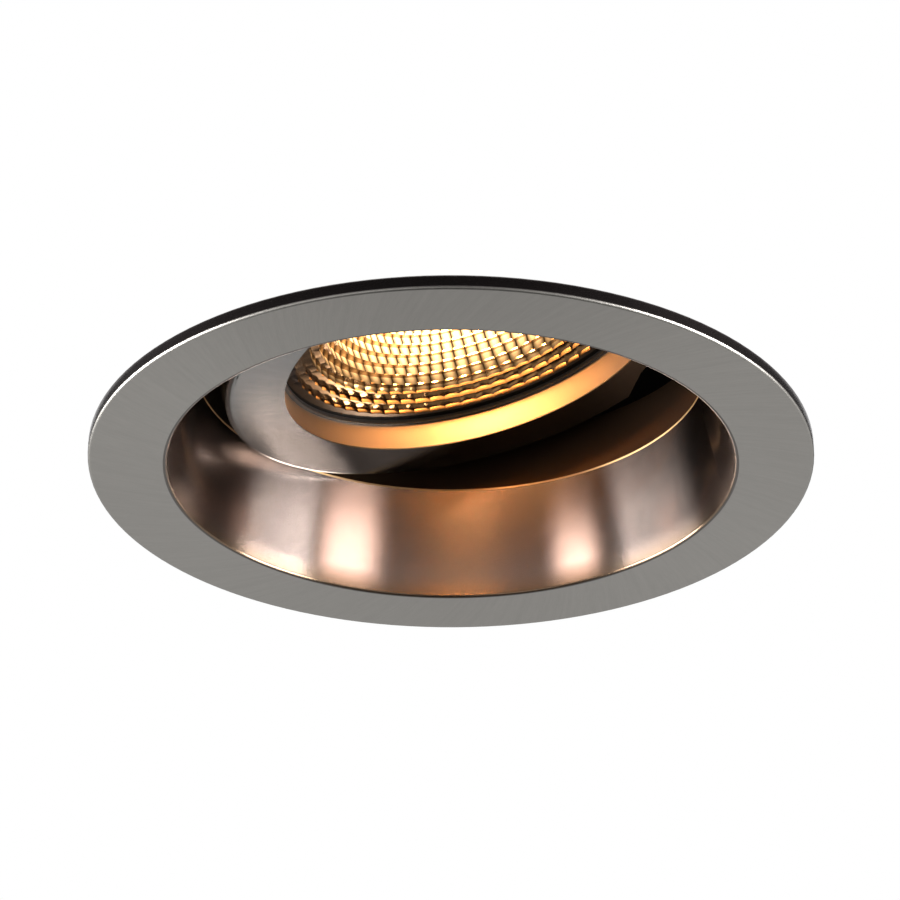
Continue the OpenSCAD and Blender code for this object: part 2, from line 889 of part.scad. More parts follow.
trim_ring();
tilt_ring();
rim_gasket();
reflector();
led_emitter();
led_board();
led_holder();
holder_screws();
thermal_pad();
lamp_housing();
housing_screws();
heat_sink();
heat_sink_screws();
lead_grommet();
front() pivot_screw();  // pivot_screw_front
pivot_screw();  // pivot_screw_rear
front() pivot_washer();  // pivot_washer_front
pivot_washer();  // pivot_washer_rear
clip_bracket();  // clip_bracket_right
left() clip_bracket();  // clip_bracket_left
clip_pin();  // clip_pin_right
left() clip_pin();  // clip_pin_left
clip_spring();  // clip_spring_right
left() clip_spring();  // clip_spring_left
clip_arm();  // clip_arm_right
left() clip_arm();  // clip_arm_left
clip_pad();  // clip_pad_right
left() clip_pad();  // clip_pad_left
clip_screws();
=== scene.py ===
import bpy
import numpy as np
from mathutils import Matrix


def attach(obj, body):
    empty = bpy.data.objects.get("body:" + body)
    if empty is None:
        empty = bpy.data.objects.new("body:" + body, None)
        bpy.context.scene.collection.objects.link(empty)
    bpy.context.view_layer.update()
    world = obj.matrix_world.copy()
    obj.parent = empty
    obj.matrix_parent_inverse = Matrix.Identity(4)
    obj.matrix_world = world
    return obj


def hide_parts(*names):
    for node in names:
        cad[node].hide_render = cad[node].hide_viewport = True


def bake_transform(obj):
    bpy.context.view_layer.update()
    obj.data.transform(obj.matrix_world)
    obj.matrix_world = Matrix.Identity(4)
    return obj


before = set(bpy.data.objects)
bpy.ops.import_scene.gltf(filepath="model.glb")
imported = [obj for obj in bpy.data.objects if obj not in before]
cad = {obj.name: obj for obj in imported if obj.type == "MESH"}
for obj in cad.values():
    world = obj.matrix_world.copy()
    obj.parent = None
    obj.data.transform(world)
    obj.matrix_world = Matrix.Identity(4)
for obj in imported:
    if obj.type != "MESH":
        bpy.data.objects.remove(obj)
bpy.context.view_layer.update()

# ---- Trim ring
# One zinc die-casting with a nickel plating. Its flange is brushed from the middle outwards with a
# slight swirl, the deep cone is polished over the same marks, and the skirt above keeps the plain
# plated skin of the casting.

mm = 0.001
flange_r = 60 * mm
flange_face_z = -2.4 * mm
cone_foot_r = 47 * mm
cone_top_r = 42.9 * mm
cone_top_z = 16.9 * mm
skirt_in_r = 45.8 * mm
cone_skin = 0.45 * mm
lip_width = 0.65 * mm
edge_width = 0.15 * mm
foot_tint_top_z = 1.5 * mm
zone_margin = 0.3 * mm
swirl = 0.45
fine_scale, broad_scale = 400, 60
brush_relief = 0.01 * mm

brushed_tones = (0.192, 0.184, 0.170), (0.230, 0.220, 0.203)
polished_tones = (0.232, 0.186, 0.164), (0.282, 0.230, 0.205)
skin_tones = (0.26, 0.25, 0.235), (0.33, 0.32, 0.30)


class Nodes:
    """Adds nodes to one node tree. Inputs are values or the outputs of other nodes."""

    def __init__(self, tree):
        self.tree = tree

    def add(self, kind, inputs=None, **settings):
        """New node of a kind, with its settings and inputs."""
        made = self.tree.nodes.new("ShaderNode" + kind)
        for key, value in settings.items():
            setattr(made, key, value)
        for key, value in (inputs or {}).items():
            if isinstance(value, bpy.types.NodeSocket):
                self.tree.links.new(value, made.inputs[key])
            else:
                made.inputs[key].default_value = value
        return made

    def step(self, operation, *terms):
        """One step of arithmetic."""
        return self.add("Math", dict(enumerate(terms)), operation=operation).outputs[0]

    def plus(self, first, second):
        """The sum of two terms."""
        return self.step("ADD", first, second)

    def times(self, first, *factors):
        """The product of all terms, taken from the left."""
        for factor in factors:
            first = self.step("MULTIPLY", first, factor)
        return first

    def above(self, value, limit):
        """1 where value is above the limit, else 0."""
        return self.step("GREATER_THAN", value, limit)

    def below(self, value, limit):
        """1 where value is below the limit, else 0."""
        return self.step("LESS_THAN", value, limit)

    def spread(self, value, low, high, to_low=0.0, to_high=1.0):
        """Carries value from the range low..high to to_low..to_high, held at both ends."""
        keys = {"Value": value, "From Min": low, "From Max": high, "To Min": to_low, "To Max": to_high}
        return self.add("MapRange", keys).outputs["Result"]


class Finish(Nodes):
    """A material built up node by node around one Principled shader."""

    def __init__(self, name, **sockets):
        self.material = bpy.data.materials.new(name)
        self.material.use_nodes = True
        super().__init__(self.material.node_tree)
        self.shader = self.tree.nodes["Principled BSDF"]
        for socket, value in sockets.items():
            self.shader.inputs[socket.replace("_", " ")].default_value = value

    def mix(self, share, first, second):
        """Colour that goes from first to second as share goes from 0 to 1."""
        made = self.add("Mix", {"Factor": share}, data_type="RGBA")
        for key, value in (("A", first), ("B", second)):
            socket = [s for s in made.inputs if s.name == key and s.type == "RGBA"][0]
            if isinstance(value, bpy.types.NodeSocket):
                self.tree.links.new(value, socket)
            else:
                socket.default_value = (*value, 1)
        return [s for s in made.outputs if s.type == "RGBA"][0]

    def noise(self, vector, scale, detail=2.0, roughness=0.5):
        """Noise from 0 to 1, about 0.5 in the middle."""
        keys = {"Vector": vector, "Scale": scale, "Detail": detail, "Roughness": roughness}
        return self.add("TexNoise", keys).outputs["Fac"]

    def waver(self, base, noise, amount):
        """base with a noise about its middle added: base + (noise - 0.5) * amount."""
        return self.plus(base, self.times(self.step("SUBTRACT", noise, 0.5), amount))

    def place(self):
        """Object coordinates, in metres."""
        return self.add("TexCoord").outputs["Object"]

    def round_about(self, place):
        """Splits a place into its distance from the Z axis and its X, Y and Z."""
        x, y, z = self.add("SeparateXYZ", {0: place}).outputs
        return self.step("SQRT", self.plus(self.times(x, x), self.times(y, y))), x, y, z

    def join(self, value, socket):
        """Joins a node's output to a socket of the shader."""
        self.tree.links.new(value, self.shader.inputs[socket])

    def finish(self, colour=None, roughness=None, height=None, depth=0.0, tangent=None):
        """Joins the results to the shader; depth is the height's full relief in metres."""
        for socket, value in (("Base Color", colour), ("Roughness", roughness), ("Tangent", tangent)):
            if value is not None:
                self.join(value, socket)
        if height is not None:
            bump = self.add("Bump", {"Height": height, "Strength": 1.0, "Distance": depth})
            self.join(bump.outputs["Normal"], "Normal")
        return self.material


def brushed(f, spot):
    """Fine marks that run outwards, the tone they give with broader streaks, and r and z of spot.
    The place across a mark is on a circle of radius 1, at the direction from the axis less swirl
    times the logarithm of the radius, and the place along it is the radius plus the height."""
    r, x, y, z = f.round_about(spot)
    turn = f.times(f.step("LOGARITHM", f.step("DIVIDE", r, flange_r), np.e), swirl)
    angle = f.step("SUBTRACT", f.step("ARCTAN2", y, x), turn)
    ways = {0: f.step("COSINE", angle), 1: f.step("SINE", angle), 2: f.plus(r, z)}
    marks = f.add("CombineXYZ", ways).outputs[0]
    fine = f.noise(marks, fine_scale, 3, 0.7)
    broad = f.noise(marks, broad_scale, 2, 0.6)
    return fine, f.spread(f.plus(fine, f.times(broad, 0.6)), 0.5, 1.1), r, z


# Besides the nickel, this finish carries painted shade, a painted dark band and a painted golden
# highlight, in the zones below
trim_nickel_and_painted_light = Finish("satin_and_polished_nickel_with_painted_light", Metallic=1.0)
f = trim_nickel_and_painted_light
spot = f.place()
fine, tone, r, z = brushed(f, spot)
# Polished is the inside of the cone, from just above the flange's face to the cone's top edge, and
# skin is all that lies behind the ceiling's surface
cone_r = f.spread(z, flange_face_z, cone_top_z, cone_foot_r, cone_top_r)
polished = f.times(f.below(r, f.plus(cone_r, cone_skin)),
                   f.spread(z, flange_face_z + 0.02 * mm, flange_face_z + 0.1 * mm),
                   f.below(z, cone_top_z + zone_margin))
skin = f.times(f.spread(z, -0.5 * mm, -0.1 * mm), f.step("SUBTRACT", 1.0, polished))
# Smaller zones: painted shade in the skirt above the cone, a painted shade line round the cone's foot,
# a painted dark band on the flange's outer edge, the darker, warmer and rougher lower part of the
# cone, and a painted golden highlight on the brim at its top
# Painted shade: the skirt's inside above the cone is painted near black
painted_skirt_shade = f.times(f.below(r, skirt_in_r + zone_margin), f.above(z, cone_top_z + zone_margin))
# Painted shade: a dark line painted round the cone's foot, where it meets the flange's face
lip = f.times(f.spread(z, flange_face_z + 0.35 * mm, flange_face_z + 0.6 * mm, 1, 0),
              f.below(r, cone_foot_r + lip_width))
# Painted dark reflection: the flange's outer side is painted dark, for the dark room it mirrors
edge = f.times(f.above(r, flange_r - edge_width),
               f.spread(z, flange_face_z + 0.2 * mm, flange_face_z + 0.5 * mm))
# The lower part of the cone turns darker, warmer and rougher towards its foot
cone_foot_tint = f.times(polished, f.spread(z, flange_face_z, foot_tint_top_z, 1, 0))
# Painted highlight: the cone's top edge is painted bright gold, for the lamp's light caught on it
brim = f.times(polished, f.above(z, cone_top_z - zone_margin))
colour = f.mix(polished, f.mix(tone, *brushed_tones), f.mix(f.noise(spot, 90, 2, 0.5), *polished_tones))
colour = f.mix(skin, colour, f.mix(f.noise(spot, 400, 4, 0.6), *skin_tones))
rough = f.spread(polished, 0, 1, 0.38, 0.16)
for zone, zone_colour, rougher in ((painted_skirt_shade, (0.035, 0.021, 0.013), None),
                                   (lip, (0.07, 0.062, 0.055), None),
                                   (edge, (0.07, 0.058, 0.058), -0.15),
                                   (cone_foot_tint, (0.135, 0.092, 0.06), 0.1),
                                   (brim, (0.44, 0.28, 0.135), 0.4)):
    colour = f.mix(zone, colour, zone_colour)
    if rougher is not None:
        rough = f.plus(rough, f.times(zone, rougher))
rough = f.waver(f.plus(rough, f.times(skin, 0.1)), fine, 0.1)
# The marks draw long streaks out of every light, most of all on the polished cone
f.join(f.spread(polished, 0, 1, 0.3, 0.95), "Anisotropic")
f.shader.inputs["Anisotropic Rotation"].default_value = 0.25
relief = f.plus(f.times(fine, f.spread(polished, 0, 1, 1.0, 0.5)),
                f.times(f.noise(spot, 2500, 2, 0.5), f.times(skin, 1.5)))
round_tangent = f.add("Tangent", direction_type="RADIAL", axis="Z").outputs[0]
f.finish(colour, rough, relief, brush_relief, round_tangent)


def dress(material, *nodes):
    """Gives a finish to solids that keep their own shape."""
    for node in nodes:
        for slot in cad[node].material_slots:
            slot.material = material


dress(trim_nickel_and_painted_light.material, "trim_ring")

# ---- Pivot screws and washers
# Two turned steel screws with a plain tip and a hexagon socket, zinc plated, through the skirt's
# lugs. A natural nylon washer on each one gives the tilt its friction.


def plated_steel(name, dark, light, rough):
    """Plated steel: cloudy tone, fine turning marks and a little uneven gloss."""
    f = Finish(name, Metallic=1.0)
    spot = f.place()
    cloud = f.noise(spot, 350, 3, 0.6)
    grain = f.noise(spot, 2600, 2, 0.5)
    colour = f.mix(f.spread(cloud, 0.3, 0.7), dark, light)
    return f.finish(colour, f.waver(rough, cloud, 0.2), grain, 0.02 * mm)


def moulded(name, dark, light, rough, grain_scale=1800, depth=0.02 * mm, **sockets):
    """Moulded plastic or rubber: slight clouds in the colour and a fine spark-eroded grain."""
    f = Finish(name, **sockets)
    spot = f.place()
    cloud = f.noise(spot, 220, 3, 0.55)
    grain = f.noise(spot, grain_scale, 3, 0.6)
    colour = f.mix(f.spread(cloud, 0.35, 0.65), dark, light)
    return f.finish(colour, f.spread(grain, 0.3, 0.7, rough - 0.06, rough + 0.06), grain, depth)


zinc_screw = plated_steel("zinc_plated_screw", (0.40, 0.40, 0.39), (0.52, 0.52, 0.50), 0.34)
nylon = moulded("natural_nylon", (0.66, 0.64, 0.57), (0.74, 0.72, 0.65), 0.45,
                Subsurface_Weight=0.1, Subsurface_Scale=0.001)
dress(zinc_screw, "pivot_screw_front", "pivot_screw_rear")
dress(nylon, "pivot_washer_front", "pivot_washer_rear")

# ---- Tilt ring
# Nickel-plated zinc die-casting that holds the lamp. Its flat face is brushed outwards like the
# flange, and the wall of the lamp opening keeps a soft satin.

tilt = np.radians(14.7)
axis_z = 34.6 * mm
axis_h = 14.8 * mm
aperture_r = 32.6 * mm
wall_foot_h = 0.2 * mm
face_back_h = 2.0 * mm


def lamp_place(finish):
    """Object coordinates in the lamp's own upright frame: turned back by the tilt about the axis."""
    turned = finish.add("Mapping", {
        "Vector": finish.place(),
        "Rotation": (0.0, tilt, 0.0),
        "Location": (-axis_z * np.sin(tilt), 0.0, axis_h - axis_z * np.cos(tilt))})
    return turned.outputs[0]


ring_nickel_and_painted_light = Finish("brushed_nickel_ring_with_painted_light", Metallic=1.0)
f = ring_nickel_and_painted_light
fine, tone, r, z = brushed(f, lamp_place(f))
bore = f.times(f.below(r, aperture_r + 0.2 * mm), f.above(z, wall_foot_h))
behind = f.times(f.above(z, face_back_h), f.step("SUBTRACT", 1.0, bore))
colour = f.mix(tone, (0.138, 0.134, 0.128), (0.180, 0.175, 0.167))
# Painted light: the wall of the lamp opening is painted paler and warmer than the face, for the LED's warm
# light on the same nickel
colour = f.mix(bore, colour, (0.40, 0.30, 0.225))
colour = f.mix(behind, colour, (0.25, 0.245, 0.235))
f.finish(colour, f.waver(f.spread(bore, 0, 1, 0.17, 0.33), fine, 0.12), fine, brush_relief)
dress(ring_nickel_and_painted_light.material, "tilt_ring")

# ---- Rim gasket
# Thin ring of black silicone between the tilt ring and the reflector's flange. Only its inner
# edge shows, as a dark line round the facets.

black_silicone = moulded("black_silicone", (0.012, 0.011, 0.010), (0.022, 0.020, 0.018), 0.55)
dress(black_silicone, "rim_gasket", "lead_grommet")

# ---- Reflector
# Shallow bowl in a mirror-coated plastic, moulded as 16 steps of 64 small facets. Each facet is an
# upright, slightly swollen face above a narrow ledge, so that it shows its own image of the light.

columns = 64
rows = 16
throat_r = 8 * mm
mirror_r = 31.2 * mm
throat_z = 23.8 * mm
mirror_depth = 18.5 * mm
curve_share = 1.1
face_points = 5
column_points = 6
shell_points = 11
mirror_wall = 1.2 * mm
rim_flange_r = 34.7 * mm
rim_flange_t = 1.2 * mm

# The first rows at the rim are plain steps with painted shade, and the deeper ones hang over and
# shine, helped by a painted glow
dull_rows = 3
rim_lean, deep_lean = -0.12 * mm, 0.108 * mm
rim_rise, deep_rise = 0.08 * mm, -0.3 * mm
rim_swell, deep_swell = 0.03 * mm, 0.018 * mm
rim_fluting, deep_fluting = 0.17, 0.10
dark_rows = 5.4 * mm, 5.9 * mm
satin_rows = 8.5 * mm, 10.5 * mm
painted_glow_rows = 7.5 * mm, 15 * mm
painted_glow_power, painted_glow_strength = 1.5, 9.0


def tilted(points):
    """Points of the lamp's upright frame at their tilted place: turned by -tilt about the axis."""
    x, y, z = points[..., 0], points[..., 1], points[..., 2] - axis_h
    return np.stack([x * np.cos(tilt) - z * np.sin(tilt), y,
                     x * np.sin(tilt) + z * np.cos(tilt) + axis_z], axis=-1)


def net(name, points, wrap, sharp=None, capped=False):
    """Mesh of a grid of points: each point joins its neighbours, wrap says which way closes up.
    sharp says which rows and which columns are creases, and in which rows the columns are."""
    high, wide = points.shape[:2]
    index = np.arange(high * wide).reshape(high, wide)
    down = index if wrap[0] else index[:-1]
    i, j = np.meshgrid(np.arange(down.shape[0]), np.arange(wide if wrap[1] else wide - 1), indexing="ij")
    ni, nj = (i + 1) % high, (j + 1) % wide
    faces = np.stack([index[i, j], index[i, nj], index[ni, nj], index[ni, j]], axis=-1).reshape(-1, 4)
    mesh = bpy.data.meshes.new(name)
    caps = [index[0].tolist()[::-1], index[-1].tolist()] if capped else []
    mesh.from_pydata(points.reshape(-1, 3).tolist(), [], faces.tolist() + caps)
    mesh.polygons.foreach_set("use_smooth", np.arange(len(mesh.polygons)) < len(faces))
    if sharp is not None:
        ends = np.empty(2 * len(mesh.edges), np.int32)
        mesh.edges.foreach_get("vertices", ends)
        at_row, at_column = np.divmod(ends.reshape(-1, 2), wide)
        row_edge = (at_row[:, 0] == at_row[:, 1]) & sharp[0][at_row[:, 0]]
        column_edge = ((at_column[:, 0] == at_column[:, 1]) & sharp[1][at_column[:, 0]]
                       & sharp[2][at_row].all(axis=1))
        crease = mesh.attributes.new("sharp_edge", "BOOLEAN", "EDGE")
        crease.data.foreach_set("value", row_edge | column_edge)
    mesh.update()
    made = bpy.data.objects.new(name, mesh)
    bpy.context.scene.collection.objects.link(made)
    return made


def mirror_curve(share):
    """Radius and height of the mirror, share 0 at the hole and 1 at the rim:
    the radius grows with share to the power curve_share, and the height falls evenly."""
    return throat_r + (mirror_r - throat_r) * share**curve_share, throat_z - mirror_depth * share


# One row's outline, from its corner at the rim side: along the ledge, then up the face. lean is how
# much nearer to the axis the face has its foot than its top, rise is how far the ledge climbs on its
# way in, and the face swells by the square law 1 - v * v, v from -1 at its foot to 1 at its top
corner_r, corner_z = mirror_curve(1 - np.arange(rows + 1) / rows)
row = np.arange(rows)
lean = np.where(row < dull_rows, rim_lean, deep_lean)
rise = np.where(row < dull_rows, rim_rise, deep_rise)
swell = np.where(row > dull_rows, deep_swell, rim_swell)
up = np.linspace(0, 1, face_points)
foot_r = corner_r[1:] - lean
foot_z = corner_z[:-1] + rise
face_r = foot_r[:, None] + lean[:, None] * up - swell[:, None] * (1 - (2 * up - 1) ** 2)
face_z = foot_z[:, None] + (corner_z[1:] - foot_z)[:, None] * up
inner_r = np.concatenate([np.column_stack([corner_r[:-1], face_r[:, :-1]]).ravel(), corner_r[-1:]])
inner_z = np.concatenate([np.column_stack([corner_z[:-1], face_z[:, :-1]]).ravel(), corner_z[-1:]])

# The smooth back of the shell follows the mirror, and ends in the rim's flange
back_r, back_z = mirror_curve(np.linspace(0, 1, shell_points + 1)[:-1])
shell_r = np.concatenate([back_r + mirror_wall, [mirror_r + mirror_wall, rim_flange_r, rim_flange_r]])
shell_z = np.concatenate([back_z, corner_z[0] + rim_flange_t * np.array([1, 1, 0])])

# Round the axis, each column bulges inwards by the same square law, times its row's fluting
around = 2 * np.pi * np.arange(columns * column_points) / (columns * column_points)
in_column = 2 * (np.arange(columns * column_points) % column_points) / column_points - 1
flute = np.pi / columns * (1 - in_column**2)
fluting = np.interp(np.arange(len(inner_r)) / face_points, [dull_rows, dull_rows + 2],
                    [rim_fluting, deep_fluting])
radius = np.concatenate([inner_r[:, None] * (1 - fluting[:, None] * flute), shell_r[:, None] + 0 * flute])
height = np.concatenate([inner_z, shell_z])[:, None] + 0 * flute
bowl = np.stack([radius * np.cos(around), radius * np.sin(around), height], axis=-1)
row_crease = np.zeros(len(bowl), bool)
row_crease[: len(inner_r)] = np.arange(len(inner_r)) % face_points < 2
row_crease[len(inner_r) :] = np.arange(len(shell_r)) >= shell_points - 1
column_crease = np.arange(columns * column_points) % column_points == 0
reflector = net("faceted_reflector", tilted(bowl[::-1]), (True, True),
                (row_crease[::-1], column_crease, np.arange(len(bowl)) >= len(shell_r)))

mirror_and_painted_glow = Finish("warm_mirror_with_painted_glow", Metallic=1.0)
f = mirror_and_painted_glow
spot = lamp_place(f)
_, x, y, z = f.round_about(spot)
haze = f.noise(spot, 260, 3, 0.6)
speck = f.noise(spot, 3000, 2, 0.5)
colour = f.mix(f.spread(haze, 0.35, 0.65), (0.32, 0.22, 0.125), (0.39, 0.275, 0.165))
# Painted shade: the lowest steps at the rim are painted near black
colour = f.mix(f.spread(z, *dark_rows, 1, 0), colour, (0.04, 0.028, 0.018))
rough = f.plus(f.spread(z, *satin_rows, 0.10, 0.14), f.spread(haze, 0.3, 0.7, 0.0, 0.04))
# Painted glow that the mirror gives off by itself: on the upright faces, in the middle of each
# column, and more of it the deeper the row lies, as painted highlights of the lamp in the facets
facing = f.add("SeparateXYZ", {0: f.add("TexCoord").outputs["Normal"]}).outputs
along_axis = f.step("SUBTRACT", f.times(facing[2], np.cos(tilt)), f.times(facing[0], np.sin(tilt)))
upright = f.spread(f.step("ABSOLUTE", along_axis), 0.2, 0.45, 1, 0)
phase = f.step("FRACT", f.times(f.step("ARCTAN2", y, x), columns / (2 * np.pi)))
centred = f.spread(f.step("ABSOLUTE", f.step("SUBTRACT", phase, 0.5)), 0.1, 0.48, 1, 0)
deep = f.times(f.step("POWER", f.spread(z, *painted_glow_rows), painted_glow_power), painted_glow_strength)
f.join(f.times(upright, centred, deep), "Emission Strength")
f.shader.inputs["Emission Color"].default_value = (1.0, 0.55, 0.21, 1)
f.finish(colour, rough, speck, 0.002 * mm)
reflector.data.materials.append(mirror_and_painted_glow.material)
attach(reflector, "lamp")
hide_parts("reflector")

# ---- Light source
# Warm white LED disc on a white square board, clamped by a moulded ring with two screws. A soft
# grey pad carries its heat to the plate behind.

glow_r = 4 * mm, 6.5 * mm
glow_strength = 200.0

glow = Finish("warm_phosphor", Roughness=0.6)
f = glow
spot = lamp_place(f)
r, _, _, _ = f.round_about(spot)
cell = f.add("TexVoronoi", {"Vector": spot, "Scale": 650.0}).outputs["Distance"]
f.join(f.mix(f.spread(r, *glow_r), (1.0, 0.53, 0.23), (1.0, 0.44, 0.13)), "Emission Color")
f.shader.inputs["Emission Strength"].default_value = glow_strength
colour = f.mix(f.spread(cell, 0.1, 0.6), (1.0, 0.70, 0.25), (1.0, 0.78, 0.36))
f.finish(colour, None, cell, 0.05 * mm)
dress(glow.material, "led_emitter")

white_board = moulded("white_solder_resist", (0.74, 0.74, 0.71), (0.80, 0.80, 0.78), 0.35, 900, 0.01 * mm)
dress(white_board, "led_board")
white_holder = moulded("white_moulding", (0.72, 0.70, 0.65), (0.79, 0.77, 0.72), 0.42)
dress(white_holder, "led_holder")
dress(zinc_screw, "holder_screws")
grey_pad = moulded("thermal_pad_silicone", (0.24, 0.30, 0.34), (0.32, 0.38, 0.42), 0.7, 1200, 0.05 * mm)
dress(grey_pad, "thermal_pad")

# ---- Lamp housing and heat sink
# Two aluminium die-castings with a fine blasted skin: a ribbed tube round the reflector, and the
# finned plate that is screwed down on it. A rubber inlet in the plate takes the supply lead.


def cast_aluminium(name, dark, light):
    """Blasted casting: soft clouds, a grain of sand, and paler rubbed spots on it."""
    f = Finish(name, Metallic=1.0)
    spot = f.place()
    cloud = f.noise(spot, 70, 4, 0.6)
    sand = f.noise(spot, 1500, 4, 0.7)
    colour = f.mix(f.spread(f.plus(cloud, f.times(sand, 0.5)), 0.55, 0.95), dark, light)
    return f.finish(colour, f.spread(sand, 0.3, 0.7, 0.46, 0.6), sand, 0.06 * mm)


dress(cast_aluminium("blasted_aluminium_tube", (0.34, 0.34, 0.33), (0.44, 0.44, 0.42)), "lamp_housing")
dress(cast_aluminium("blasted_aluminium_fins", (0.36, 0.36, 0.35), (0.47, 0.47, 0.45)), "heat_sink")
dress(zinc_screw, "housing_screws", "heat_sink_screws")

# ---- Ceiling clips
# Brackets and arms stamped from zinc-plated spring steel sheet and folded, each pair on a riveted
# pin, with two screws into the skirt. The arm's end has a soft sleeve that grips the ceiling.

stamped_sheet = Finish("zinc_plated_sheet", Metallic=1.0)
f = stamped_sheet
spot = f.place()
rolled = f.add("Mapping", {"Vector": spot, "Scale": (1.0, 12.0, 1.0)}).outputs[0]
lines = f.noise(rolled, 160, 4, 0.65)
flakes = f.add("TexVoronoi", {"Vector": spot, "Scale": 420.0}).outputs["Distance"]
tone = f.spread(f.plus(lines, f.times(flakes, 0.3)), 0.35, 0.85)
colour = f.mix(tone, (0.42, 0.42, 0.41), (0.56, 0.56, 0.54))
f.finish(colour, f.spread(lines, 0.3, 0.7, 0.26, 0.38), lines, 0.01 * mm)
dress(stamped_sheet.material, "clip_bracket_right", "clip_bracket_left", "clip_arm_right", "clip_arm_left")
dress(plated_steel("plain_pin_steel", (0.36, 0.36, 0.35), (0.46, 0.46, 0.44), 0.28),
      "clip_pin_right", "clip_pin_left")
dress(zinc_screw, "clip_screws")
dress(moulded("soft_white_sleeve", (0.52, 0.50, 0.45), (0.60, 0.58, 0.53), 0.6, 1400, 0.04 * mm),
      "clip_pad_right", "clip_pad_left")

# ---- Clip springs
# Torsion springs of plain wire, wound five turns round the pin. One leg stands up the bracket, the
# other runs out along the arm, so the spring winds up as the arm folds.

wire_r = 0.4 * mm
wire_sides = 12
coil_r = 1.75 * mm
pin_x = 51.05 * mm
pin_h = 16 * mm
coil_turns = 5
coil_pitch = 1.3 * mm
coil_points = 221
leg_len = 9 * mm
leg_gap = 0.5 * mm
leg_points = 14
arm_angle = 18
coil_sweep = np.radians(360 * coil_turns + 90 - arm_angle)
coil_w = coil_pitch * coil_sweep / (2 * np.pi)


def wire_net(path, out, radius, sides):
    """A round wire: circles round each point of path, in the plane of out and of run x out."""
    run = np.gradient(path, axis=0)
    run /= np.linalg.norm(run, axis=1, keepdims=True)
    out = out - run * (out * run).sum(axis=1, keepdims=True)
    out /= np.linalg.norm(out, axis=1, keepdims=True)
    side = np.cross(run, out)
    turn = 2 * np.pi * np.arange(sides) / sides
    circle = np.cos(turn)[None, :, None] * out[:, None, :] + np.sin(turn)[None, :, None] * side[:, None, :]
    return path[:, None, :] + radius * circle


def clip_spring(name, node, way):
    """Spring on the pin: a helix of radius coil_r from 180 degrees on, with two straight legs
    that leave it along its own tangent. way is 1 on the right and -1 on the left side."""
    t = np.linspace(0, 1, coil_points)
    turned = np.pi + coil_sweep * t
    coil = np.stack([coil_r * np.cos(turned), coil_w * (t - 0.5), coil_r * np.sin(turned)], axis=-1)
    out = np.stack([np.cos(turned), 0 * t, np.sin(turned)], axis=-1)
    ahead = np.stack([-np.sin(turned), 0 * t, np.cos(turned)], axis=-1)
    reach = np.linspace(leg_len, leg_gap, leg_points)[:, None]
    path = np.concatenate([coil[0] - ahead[0] * reach, coil, coil[-1] + ahead[-1] * reach[::-1]])
    out = np.concatenate([out[:1].repeat(leg_points, axis=0), out, out[-1:].repeat(leg_points, axis=0)])
    points = wire_net(path, out, wire_r, wire_sides) + np.array([pin_x, 0, pin_h])
    points[..., :2] *= way
    made = net(name, points, (False, True), capped=True)
    made.data.materials.append(spring_wire)
    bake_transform(made)
    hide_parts(node)


spring_wire = plated_steel("drawn_spring_wire", (0.26, 0.26, 0.26), (0.36, 0.36, 0.35), 0.3)
clip_spring("torsion_spring_right", "clip_spring_right", 1)
clip_spring("torsion_spring_left", "clip_spring_left", -1)

# ---- Room
# Plain pale floor far below, a thin white ceiling with a hole that the flange covers, and four soft
# lamps. Black cards and a ring over the skirt keep edges and gaps dark. The camera looks through the
# ceiling from above, so that the pieces behind it show from there.

ceiling_hole_r = 55 * mm
ceiling_r = 1.2
ceiling_z = 0.02 * mm
floor_r = 8.0
floor_z = -1.3
floor_flag_z = -0.5
void_in_r, void_out_r, void_z = 39.8 * mm, 46.9 * mm, 29.0 * mm
pinhole_r = 1 * mm


def disc(name, inner, outer, height, steps=96):
    """Flat ring of radius inner to outer, or a disc with a pinhole where inner is 0, facing up."""
    turn = 2 * np.pi * np.arange(steps) / steps
    ring = np.stack([np.cos(turn), np.sin(turn), 0 * turn], axis=-1)
    points = np.stack([ring * outer, ring * max(inner, pinhole_r)]) + np.array([0, 0, height])
    made = net(name, points, (False, True))
    return made


def room_paint(name, colour, white_seen=True, clear_behind=False):
    """Plain matt paint. Where white_seen, the camera and what mirrors and glass show get plain white
    in its place. Where clear_behind, the camera looks through it from the rear side."""
    material = bpy.data.materials.new(name)
    material.use_nodes = True
    material.node_tree.nodes.clear()
    n = Nodes(material.node_tree)
    rays = n.add("LightPath").outputs
    look = n.add("BsdfDiffuse", {"Color": (*colour, 1)}).outputs[0]
    if white_seen:
        mirrored = n.step("MAXIMUM", rays["Is Camera Ray"], rays["Is Glossy Ray"])
        seen = n.step("MAXIMUM", mirrored, rays["Is Transmission Ray"])
        look = n.add("MixShader", {0: seen, 1: look, 2: n.add("Emission").outputs[0]}).outputs[0]
    if clear_behind:
        clear = n.add("BsdfTransparent").outputs[0]
        hidden = n.times(n.add("NewGeometry").outputs["Backfacing"], rays["Is Camera Ray"])
        look = n.add("MixShader", {0: hidden, 1: look, 2: clear}).outputs[0]
    n.add("OutputMaterial", {"Surface": look})
    return material


floor = disc("floor", 0, floor_r, floor_z)
floor.data.materials.append(room_paint("pale_floor", (0.75, 0.74, 0.72)))
ceiling = disc("ceiling", ceiling_hole_r, ceiling_r, ceiling_z)
ceiling.data.flip_normals()
ceiling.data.materials.append(room_paint("white_ceiling", (0.8, 0.8, 0.8), clear_behind=True))

black_card = Finish("black_card", Base_Color=(0.012, 0.011, 0.010, 1), Roughness=0.9).material


def flag(name, inner, outer, height=0.0):
    """Black card that only reflections and light meet, to keep a metal edge or gap dark."""
    made = disc(name, inner, outer, height)
    made.data.materials.append(black_card)
    made.visible_camera = False
    return made


